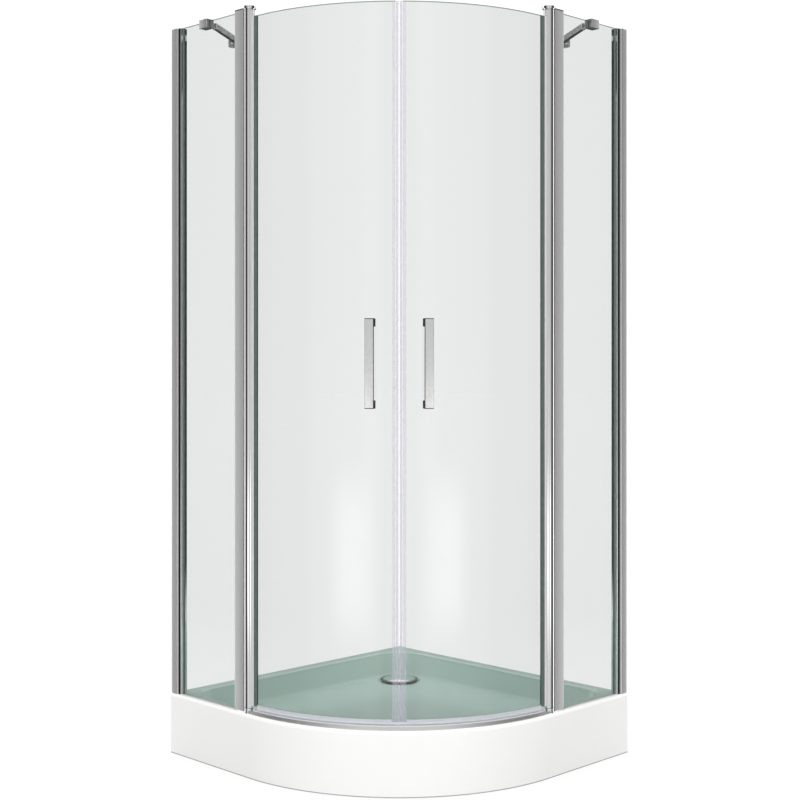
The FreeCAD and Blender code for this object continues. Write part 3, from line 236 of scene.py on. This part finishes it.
# Base board. A sheet of raw chipboard bonded under the floor of the tray, which stiffens it.
# It is open round the waste and drilled for the feet.
CHIPS = ((0.4, 0.27, 0.15), (0.72, 0.56, 0.37))
WOOD_DUST = ((0.45, 0.33, 0.2), (0.68, 0.54, 0.37))
chipboard, tree, shader = finish("raw_chipboard", Roughness=0.85)
where = place(tree)
chips = put(tree, "ShaderNodeTexVoronoi", {"Vector": where, "Scale": 210.0}).outputs
wood = tint(tree, put(tree, "ShaderNodeSeparateColor", {0: chips["Color"]}).outputs[0], *CHIPS)
dust = mottled(tree, where, WOOD_DUST, per_metre=900, detail=4)
dusty = span(tree, cloudy(tree, where, per_metre=30), low=0.2, high=0.7)
drive(tree, shader, Base_Color=tint(tree, dusty, wood, dust))
relief(tree, shader, chips["Distance"], strength=0.35, depth=0.0006)
dress(chipboard, "tray_base_board")

# Feet. Zinc-plated threaded rods screwed into the board, each with a lock nut, on moulded pads.
# Turning a rod in its pad sets the level of the tray.


def moulded(name, colour, roughness):
    """Moulded plastic with a fine even grain."""
    material, tree, shader = finish(name)
    where = place(tree)
    shades = (tuple(0.88 * c for c in colour), colour)
    drive(
        tree,
        shader,
        Base_Color=mottled(tree, where, shades, per_metre=45),
        Roughness=span(tree, cloudy(tree, where, per_metre=160), *roughness),
    )
    relief(tree, shader, cloudy(tree, where, per_metre=1100), strength=0.18, depth=0.0002)
    return material


ZINC = ((0.55, 0.57, 0.59), (0.74, 0.75, 0.74))
zinc, tree, shader = finish("zinc_plated_steel", Metallic=1.0)
where = place(tree)
spangle = cloudy(tree, where, per_metre=320, detail=3)
dull = span(tree, cloudy(tree, where, per_metre=900), low=0.26, high=0.44)
drive(tree, shader, Base_Color=tint(tree, spangle, *ZINC), Roughness=dull)
relief(tree, shader, spangle, strength=0.08, depth=0.0002)
dress(zinc, "foot_nuts")
dress(moulded("black_moulding", (0.035, 0.035, 0.037), (0.42, 0.6)), "foot_pads")


def whole(shape):
    """All the points, edges and faces of a shape."""
    return shape.verts[:] + shape.edges[:] + shape.faces[:]


FOOT_SHARES = ((0.11, 0.13), (0.87, 0.89), (0.1, 0.58), (0.42, 0.9), (0.7, 0.3))
THREAD_PITCH, THREAD_ROOT, THREAD_CREST = 0.0015, 0.0041, 0.0049
THREAD_STEPS, SPARE_TURNS = 20, 2
THREAD_SEAM = 1e-6
CREST_START, CREST_END = 0.42, 0.58
wall_line = cad_box[0][0]
tray_side = cad_box[1][0] - wall_line
foot_places = [(wall_line + x * tray_side, wall_line + y * tray_side, 0) for x, y in FOOT_SHARES]
foot, head = (corner[2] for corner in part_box("foot_rods"))
turns = int((head - foot) / THREAD_PITCH) + SPARE_TURNS
threads = bmesh.new()
ridge = ((THREAD_ROOT, 0), (THREAD_CREST, CREST_START), (THREAD_CREST, CREST_END), (THREAD_ROOT, 1))
points = [threads.verts.new((reach, 0, foot + (rise - 1) * THREAD_PITCH)) for reach, rise in ridge]
edges = [threads.edges.new(ends) for ends in zip(points, points[1:])]
bmesh.ops.spin(
    threads,
    geom=points + edges,
    cent=(0, 0, 0),
    axis=(0, 0, 1),
    dvec=(0, 0, THREAD_PITCH / THREAD_STEPS),
    angle=2 * pi * turns,
    steps=THREAD_STEPS * turns,
)
bmesh.ops.remove_doubles(threads, verts=threads.verts, dist=THREAD_SEAM)
for level, way in ((foot, -1), (head, 1)):
    bmesh.ops.bisect_plane(
        threads, geom=whole(threads), plane_co=(0, 0, level), plane_no=(0, 0, way), clear_outer=True
    )
bmesh.ops.holes_fill(threads, edges=[edge for edge in threads.edges if edge.is_boundary], sides=0)
bmesh.ops.recalc_face_normals(threads, faces=threads.faces)
first_rod = whole(threads)
rods = [first_rod] + [bmesh.ops.duplicate(threads, geom=first_rod)["geom"] for _ in foot_places[1:]]
for rod, spot in zip(rods, foot_places):
    points = [item for item in rod if isinstance(item, bmesh.types.BMVert)]
    bmesh.ops.translate(threads, verts=points, vec=spot)
mesh = bpy.data.meshes.new("threaded_rods")
threads.to_mesh(mesh)
threads.free()
mesh.materials.append(zinc)
threaded_rods = bpy.data.objects.new("threaded_rods", mesh)
bpy.context.scene.collection.objects.link(threaded_rods)
threaded_rods.modifiers.new("even_shading", "NODES").node_group = EVEN
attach(threaded_rods, "frame")
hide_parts("foot_rods")

# Waste. A chromed flange clamps the trap through the floor of the tray, between two rubber rings.
# The trap is a grey moulded cup with a level outlet. A loose chromed dome covers the hole. The foot
# of the dome is painted near black all round, a painted shade and dark reflection.


def chromed(name, roughness, tone):
    """Chrome plate, with the faint haze of wiping."""
    material, tree, shader = finish(name, Metallic=1.0)
    where = place(tree)
    plate = ((tone - 0.03, tone - 0.025, tone - 0.02), (tone, tone, tone + 0.005))
    haze = cloudy(tree, where, per_metre=140, detail=4)
    drive(
        tree,
        shader,
        Base_Color=mottled(tree, where, plate, per_metre=26),
        Roughness=span(tree, haze, low=0.7 * roughness, high=1.4 * roughness),
    )
    relief(tree, shader, cloudy(tree, where, per_metre=420), strength=0.01, depth=0.0001)
    return material


def rubber(name, colour):
    """Soft black or dark rubber with a dull bloom."""
    material, tree, shader = finish(name, Specular_IOR_Level=0.35)
    where = place(tree)
    bloom = tuple(1.5 * c + 0.01 for c in colour)
    drive(
        tree,
        shader,
        Base_Color=mottled(tree, where, (colour, bloom), per_metre=70, detail=4),
        Roughness=span(tree, cloudy(tree, where, per_metre=200), low=0.45, high=0.65),
    )
    relief(tree, shader, cloudy(tree, where, per_metre=1500), strength=0.12, depth=0.0001)
    return material


# The near black band round the foot of the dome is a painted shade and dark reflection.
SHADE_RING_HEIGHT, SHADE_RING_BLUR = 0.0032, 0.0004
WIPED_CHROME = ((0.87, 0.875, 0.88), (0.9, 0.9, 0.905))
PAINTED_SHADE_CHROME = ((0.05, 0.052, 0.052), (0.1, 0.104, 0.102))
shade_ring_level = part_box("drain_cover")[1][2] - SHADE_RING_HEIGHT
dome_chrome, tree, shader = finish("dome_chrome", Metallic=1.0)
where = place(tree)
# Below this level the dome is painted near black: painted shade and reflection.
above_shade_ring = mask(tree, axes(tree, where)[2], shade_ring_level - SHADE_RING_BLUR, shade_ring_level + SHADE_RING_BLUR)
wiped = mottled(tree, where, WIPED_CHROME, per_metre=26)
painted_shade = mottled(tree, where, PAINTED_SHADE_CHROME, per_metre=400)
haze = span(tree, cloudy(tree, where, per_metre=140, detail=4), low=0.04, high=0.09)
drive(tree, shader, Base_Color=tint(tree, above_shade_ring, painted_shade, wiped), Roughness=haze)
chrome = chromed("polished_chrome", roughness=0.06, tone=0.9)
grey_plastic = moulded("grey_moulding", (0.62, 0.63, 0.64), (0.35, 0.5))
dress(chrome, "waste_flange")
dress(dome_chrome, "drain_cover")
dress(rubber("black_ring_rubber", (0.02, 0.02, 0.021)), "waste_seals")
dress(grey_plastic, "waste_trap")

# Wall channels. Satin anodised aluminium, extruded, screwed upright to the walls with a cap on top.
# The drawing of the die leaves faint lines along the length.


def die_lines(tree):
    """Fine upright lines, as a die draws them along an extrusion."""
    return cloudy(tree, place(tree, stretch=(900, 900, 1.5)), per_metre=1, detail=3)


def extruded(name, tone, roughness, lines):
    """Anodised aluminium with the faint upright lines of its die."""
    material, tree, shader = finish(name, Metallic=1.0)
    drawn = die_lines(tree)
    shades = ((tone - 0.02, tone - 0.018, tone - 0.015), (tone + 0.015,) * 3)
    gloss = span(tree, drawn, low=0.85 * roughness, high=1.15 * roughness)
    drive(tree, shader, Base_Color=tint(tree, drawn, *shades), Roughness=gloss)
    relief(tree, shader, drawn, strength=lines, depth=0.0002)
    return material


def pair(*names):
    """The left and right twins of some pieces."""
    return [f"{side}_{name}" for name in names for side in ("left", "right")]


satin = extruded("satin_aluminium", tone=0.92, roughness=0.34, lines=0.05)
dress(satin, *pair("wall_channel"))
dress(grey_plastic, *pair("wall_channel_cap"))
dress(zinc, *pair("profile_screws"))

# Adjusting profiles. Polished aluminium boxes that slide in the wall channels until the panels stand
# upright, each with a pocket for the glass.
dress(extruded("bright_aluminium", tone=0.84, roughness=0.07, lines=0.02), *pair("adjusting_profile"))

# Side panels. Flat toughened glass with ground edges that look dark green, standing on the tray.
# Soft dark strips hold them in the wall profiles and in the posts.
ARRIS_FROM, ARRIS_TO = 0.0026, 0.002
ARRIS_GREEN = (0.3, 0.4, 0.36)
GROUND_GREEN = (0.12, 0.2, 0.17)
GROUND_TURN = (0.5, 0.9)


def toughened_glass(name, clear, top):
    """Clear glass that lets so much light through, with a faint film and a dark green ground arris."""
    material, tree, shader = finish(name, Transmission_Weight=1.0, IOR=1.46, Specular_IOR_Level=0.35)
    where = place(tree)
    upward = axes(tree, put(tree, "ShaderNodeNewGeometry").outputs["Normal"])[2]
    upward = reckon(tree, "ABSOLUTE", upward)
    casts = ((clear - 0.01, clear + 0.01, clear), (clear, clear + 0.02, clear + 0.01))
    pane = mottled(tree, where, casts, per_metre=2)
    arris = mask(tree, axes(tree, where)[2], top - ARRIS_FROM, top - ARRIS_TO)
    pane = tint(tree, arris, pane, ARRIS_GREEN)
    pane = tint(tree, mask(tree, upward, *GROUND_TURN), pane, GROUND_GREEN)
    film = span(tree, cloudy(tree, where, per_metre=35, detail=4), low=0.0, high=0.02)
    frost = span(tree, upward, 0.0, 0.6, *GROUND_TURN)
    drive(tree, shader, Base_Color=pane, Roughness=reckon(tree, "ADD", film, frost))
    return material


panel_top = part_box("left_fixed_glass")[1][2]
dark_strip = rubber("dark_glazing_strip", (0.075, 0.1, 0.092))
dress(toughened_glass("clear_glass", clear=0.82, top=panel_top), *pair("fixed_glass"))
dress(dark_strip, *pair("glazing_gaskets"))

# Hinge posts. Satin aluminium, with a pocket for the side panel and a hollow face that cradles the
# tube. A chromed bracket plugs into the top and a satin one into the bottom, and they hold the steel
# pins that the doors turn on.
dress(satin, *pair("hinge_post", "bottom_pivot_bracket"))
dress(chrome, *pair("top_pivot_bracket"))
dress(zinc, *pair("pivot_pins"))

# Threshold rail. A low hollow rail of satin aluminium, rolled to the round of the tray and bonded
# to its rim. The skirts of the doors close over it.
dress(extruded("rail_aluminium", tone=0.8, roughness=0.5, lines=0.05), "threshold_rail")

# Turning tubes. Polished aluminium, one extrusion with the jaw that grips the bent glass. The jaw's
# flanks are brushed, and the door side is made less metallic so that it shows paler, a painted
# highlight. Plastic bushes in both ends run on the pins, and dark strips close the jaw's mouth.
FLANK_FROM = (0.0138, 0.0144)
# Where the door side begins: from here the tube is made less metallic, a painted highlight.
HIGHLIGHT_FROM = (0.0122, 0.0128)
TUBE_METAL_AND_HIGHLIGHT = (1.0, 0.35)
TUBE_GLOSS = (0.07, 0.34)
TUBE_SHADES = ((0.8, 0.8, 0.805), (0.87, 0.87, 0.87))
hinges = [joint["pos_m"] for joint in frame["joints"] if joint["type"] == "hinge"]
left_hinge, right_hinge = ((x, y, 0) for x, y, height in hinges)
tube_metal, tree, shader = finish("bright_tube")
drawn = die_lines(tree)
level = place(tree, stretch=(1, 1, 0))
reach = [reckon_vector(tree, "DISTANCE", level, hinge)["Value"] for hinge in (left_hinge, right_hinge)]
reach = reckon(tree, "MINIMUM", *reach)
x, y = axes(tree, level)[:2]
doorward = [reckon(tree, "SUBTRACT", x, left_hinge[0]), reckon(tree, "SUBTRACT", right_hinge[1], y)]
doorward = reckon(tree, "MINIMUM", *doorward)
# The lower Metallic on the door side is a painted highlight that makes it look paler.
drive(
    tree,
    shader,
    Base_Color=tint(tree, drawn, *TUBE_SHADES),
    Metallic=span(tree, doorward, *TUBE_METAL_AND_HIGHLIGHT, *HIGHLIGHT_FROM),
    Roughness=span(tree, reach, *TUBE_GLOSS, *FLANK_FROM),
)
relief(tree, shader, drawn, strength=0.02, depth=0.0002)
dress(tube_metal, *pair("hinge_tube"))
# The bushes are coloured near black: a painted shade for the gap at the joint.
dress(moulded("painted_shade_moulding", (0.07, 0.07, 0.072), (0.4, 0.55)), *pair("pivot_bushes"))
dress(dark_strip, *pair("door_gaskets"))

# Doors. Toughened glass bent to the round of the tray, with ground edges, drilled for the handles.
# The jaw of the turning tube grips each pane along its outer edge.
door_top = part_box("left_door_glass")[1][2]
dress(toughened_glass("bent_glass", clear=0.775, top=door_top), *pair("door_glass"))

# Seals. Translucent extruded plastic with a lilac cast: a clip with a magnet on each meeting edge,
# and a clip with a skirt and a drip fin along each foot.


def seal_plastic(name, shades, alpha):
    """Translucent extruded plastic, a little uneven along its length."""
    material, tree, shader = finish(name, Alpha=alpha, IOR=1.5)
    drawn = cloudy(tree, place(tree, stretch=(300, 300, 0.8)), per_metre=1, detail=3)
    gloss = span(tree, drawn, low=0.16, high=0.3)
    drive(tree, shader, Base_Color=tint(tree, drawn, *shades), Roughness=gloss)
    relief(tree, shader, drawn, strength=0.004, depth=0.0002)
    return material


SEAL_LILAC = ((0.73, 0.68, 0.84), (0.79, 0.74, 0.9))
SKIRT_LILAC = ((0.74, 0.74, 0.81), (0.82, 0.82, 0.88))
MAGNET_GREY = ((0.32, 0.32, 0.38), (0.38, 0.38, 0.44))
dress(seal_plastic("lilac_seal", SEAL_LILAC, alpha=0.115), *pair("magnetic_seal"))
dress(seal_plastic("lilac_skirt", SKIRT_LILAC, alpha=0.4), *pair("bottom_seal"))
dress(seal_plastic("magnet_jacket", MAGNET_GREY, alpha=0.2), *pair("magnet_strip"))

# Handles. Flat bows of satin chrome, bolted through the glass from round rosettes inside, with thin
# clear pads against the glass. Their sides and thin bands along their top and bottom are painted
# near black, a painted dark reflection, and their upper half is painted darker than the lower, a
# painted shade.
EDGE_FROM, EDGE_TO = 0.0018, 0.0024
FACE_TURN = (0.6, 0.85)
# Darker upper and lighter lower copies of the same plate: painted shade.
SHADED_HIGH_PLATE = ((0.69, 0.695, 0.7), (0.72, 0.72, 0.725))
LIT_LOW_PLATE = ((0.79, 0.785, 0.77), (0.82, 0.81, 0.795))
# Near black for the sides and the top and bottom bands: a painted dark reflection.
PAINTED_DARK_REFLECTION = (0.1, 0.1, 0.102)
PAD_SHADES = ((0.78, 0.78, 0.8), (0.84, 0.84, 0.86))
handle_low, handle_high = (corner[2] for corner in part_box("left_handle"))
handle_middle = (handle_low + handle_high) / 2
satin_chrome, tree, shader = finish("satin_chrome", Metallic=1.0)
where = place(tree)
rise = axes(tree, where)[2]
# The plate is painted darker above the middle and lighter towards the bottom, a painted shade.
shaded_high_plate, lit_low_plate = (mottled(tree, where, plate, per_metre=26) for plate in (SHADED_HIGH_PLATE, LIT_LOW_PLATE))
plate = tint(tree, mask(tree, rise, handle_middle, handle_low), shaded_high_plate, lit_low_plate)
outward = reckon_vector(tree, "SUBTRACT", where, (bend_x, bend_y, 0))["Vector"]
outward = reckon_vector(tree, "MULTIPLY", outward, (1, 1, 0))["Vector"]
outward = reckon_vector(tree, "NORMALIZE", outward)["Vector"]
normal = put(tree, "ShaderNodeTexCoord").outputs["Normal"]
facing = reckon(tree, "ABSOLUTE", reckon_vector(tree, "DOT_PRODUCT", normal, outward)["Value"])
# Only the outward faces, away from the top and bottom bands, escape the painted dark reflection.
face = mask(tree, facing, *FACE_TURN)
for end, way in ((handle_low, 1), (handle_high, -1)):
    within = mask(tree, rise, end + way * EDGE_FROM, end + way * EDGE_TO)
    face = reckon(tree, "MULTIPLY", face, within)
haze = span(tree, cloudy(tree, where, per_metre=140, detail=4), low=0.14, high=0.28)
drive(tree, shader, Base_Color=tint(tree, face, PAINTED_DARK_REFLECTION, plate), Roughness=haze)
relief(tree, shader, cloudy(tree, where, per_metre=420), strength=0.01, depth=0.0001)
dress(satin_chrome, *pair("handle"))
dress(chrome, *pair("handle_rosettes"))
dress(zinc, *pair("handle_screws"))
dress(seal_plastic("clear_pad", PAD_SHADES, alpha=0.7), *pair("handle_pads"))

# Braces. Dull chromed bars from a satin clamp on the top edge of each side panel to a satin foot on
# the wall, forked over a tongue at both ends, with steel pivot and set screws.
dress(satin, *pair("brace_clamp", "brace_wall_foot"))
dress(chromed("dull_chrome", roughness=0.3, tone=0.7), *pair("brace_arm"))
dress(zinc, *pair("brace_screws"))

# Studio. A pale floor without a seam, an even white room with grey sides, and two low soft cards in
# front that show as glows in the lower half of the doors. Polished and matt pieces meet walls of
# their own: sharp ones with dark sides for the metal, soft ones for the rest.


def grey(level):
    """A neutral grey."""
    return (level, level, level)


def bounced(tree):
    """Whether a ray has been scattered, and whether it has been mirrored, on its way."""
    path = put(tree, "ShaderNodeLightPath").outputs
    return [reckon(tree, "GREATER_THAN", path[depth], 0.5) for depth in ("Diffuse Depth", "Glossy Depth")]


FLOOR_SIZE = 30
FLOOR_GREYS = (grey(0.345), grey(0.355))
FLOOR_GLOW = (0.6, 0.3)
FLOOR_FADE = (1.5, 2.8)
floor_shape = bmesh.new()
bmesh.ops.create_grid(floor_shape, x_segments=1, y_segments=1, size=FLOOR_SIZE)
mesh = bpy.data.meshes.new("floor")
floor_shape.to_mesh(mesh)
floor_shape.free()
floor = bpy.data.objects.new("floor", mesh)
bpy.context.scene.collection.objects.link(floor)
pale, tree, shader = finish(
    "pale_floor", Roughness=0.9, Specular_IOR_Level=0.1, Emission_Color=(1, 1, 1, 1)
)
where = place(tree)
scattered, mirrored = bounced(tree)
drive(
    tree,
    shader,
    Base_Color=mottled(tree, where, FLOOR_GREYS, per_metre=3),
    Emission_Strength=span(tree, scattered, *FLOOR_GLOW, start=0.0, end=1.0),
)
away = mask(tree, reckon_vector(tree, "LENGTH", where)["Value"], *FLOOR_FADE)
gone = reckon(tree, "MULTIPLY", mirrored, away)
see_through = put(tree, "ShaderNodeBsdfTransparent").outputs[0]
seen = put(tree, "ShaderNodeMixShader", {0: gone, 1: shader.outputs[0], 2: see_through}).outputs[0]
tree.links.new(seen, tree.nodes["Material Output"].inputs["Surface"])
mesh.materials.append(pale)
floor.visible_glossy = False

ROOM_TURN = radians(45)
HALF_TURN, FULL_TURN = 180.0, 360.0
SOFT_WALLS = ((0, 2.45), (20, 2.15), (45, 0.6), (70, 0.15), (91, 0.12), (110, 0.15), (135, 0.8), (180, 1.1))
SHARP_WALLS = (
    (0, 0.5), (8, 0.5), (13, 0.9), (18, 0.85), (24, 0.6), (50, 0.35), (54, 0.25), (58, 0.02),
    (102, 0.02), (106, 1.5), (132, 1.5), (146, 0.12), (180, 0.06),
)
SOFT_CEILING, SOFT_CEILING_FROM = 1.6, (0.35, 0.75)
SHARP_CEILING, SHARP_CEILING_FROM = 1.3, (0.6, 0.85)
WALL_FALL, FALL_HEIGHT = (1.13, 0.94), (-0.05, 0.05)
BACK_LIGHT, BACK_ANGLE, BACK_HEIGHT = 1.1, (130, 142), (0.29, 0.36)
CARD_LIGHT = 2.1
CARD_ANGLES = ((10, 25), (45, 30))
CARD_HEIGHTS = ((-0.22, -0.16), (-0.06, -0.125))
BACKGROUND_LIGHT = 1.08
world = bpy.data.worlds.new("studio")
bpy.context.scene.world = world
world.use_nodes = True
tree = world.node_tree
tree.nodes.clear()
sky = put(tree, "ShaderNodeTexCoord").outputs["Generated"]
height = axes(tree, sky)[2]
turned = put(tree, "ShaderNodeMapping", {"Vector": sky, "Rotation": (0, 0, ROOM_TURN)}).outputs[0]
round_about = put(tree, "ShaderNodeTexGradient", {"Vector": turned}, gradient_type="RADIAL").outputs["Fac"]
aside = reckon(tree, "MULTIPLY", reckon(tree, "SUBTRACT", round_about, 0.5), FULL_TURN)
aside = reckon(tree, "ABSOLUTE", aside)


def room_walls(levels):
    """The light of the room's walls at these angles, from its front round to its back."""
    ramp = put(tree, "ShaderNodeValToRGB", {0: reckon(tree, "DIVIDE", aside, HALF_TURN)})
    elements = ramp.color_ramp.elements
    for index, (angle, level) in enumerate(levels):
        element = elements[index] if index < 2 else elements.new(angle / HALF_TURN)
        element.position = angle / HALF_TURN
        element.color = (*grey(level), 1)
    return ramp.outputs[0]


def patch(angles, heights):
    """A soft-edged patch of the walls, between these angles and heights."""
    area = 1.0
    for value, limits in ((aside, angles), (height, heights)):
        for start, end in limits:
            area = reckon(tree, "MULTIPLY", mask(tree, value, start, end, ease="SMOOTHSTEP"), area)
    return area


soft = tint(tree, mask(tree, height, *SOFT_CEILING_FROM), room_walls(SOFT_WALLS), grey(SOFT_CEILING))
fall = span(tree, height, *WALL_FALL, *FALL_HEIGHT)
inputs = {0: room_walls(SHARP_WALLS), "Scale": fall}
sharp = put(tree, "ShaderNodeVectorMath", inputs, operation="SCALE").outputs[0]
sharp = tint(tree, patch([BACK_ANGLE], [BACK_HEIGHT]), sharp, grey(BACK_LIGHT))
sharp = tint(tree, mask(tree, height, *SHARP_CEILING_FROM), sharp, grey(SHARP_CEILING))
sharp = tint(tree, patch(CARD_ANGLES, CARD_HEIGHTS), sharp, grey(CARD_LIGHT))
scattered, mirrored = bounced(tree)
colour = tint(tree, mirrored, grey(BACKGROUND_LIGHT), sharp)
colour = tint(tree, scattered, colour, soft)
light = put(tree, "ShaderNodeBackground", {"Color": colour, "Strength": 1.0}).outputs[0]
put(tree, "ShaderNodeOutputWorld", {"Surface": light})

camera = bpy.data.objects.new("camera", bpy.data.cameras.new("camera"))
bpy.context.scene.collection.objects.link(camera)
camera.location = (2.7528, -2.7528, 1.0947)
camera.rotation_euler = (radians(90), 0, ROOM_TURN)
camera.data.lens = 63.0
camera.data.sensor_width = 36
camera.data.shift_x = 0.001
camera.data.shift_y = -0.052
bpy.context.scene.camera = camera
bpy.context.scene.view_settings.view_transform = "Standard"
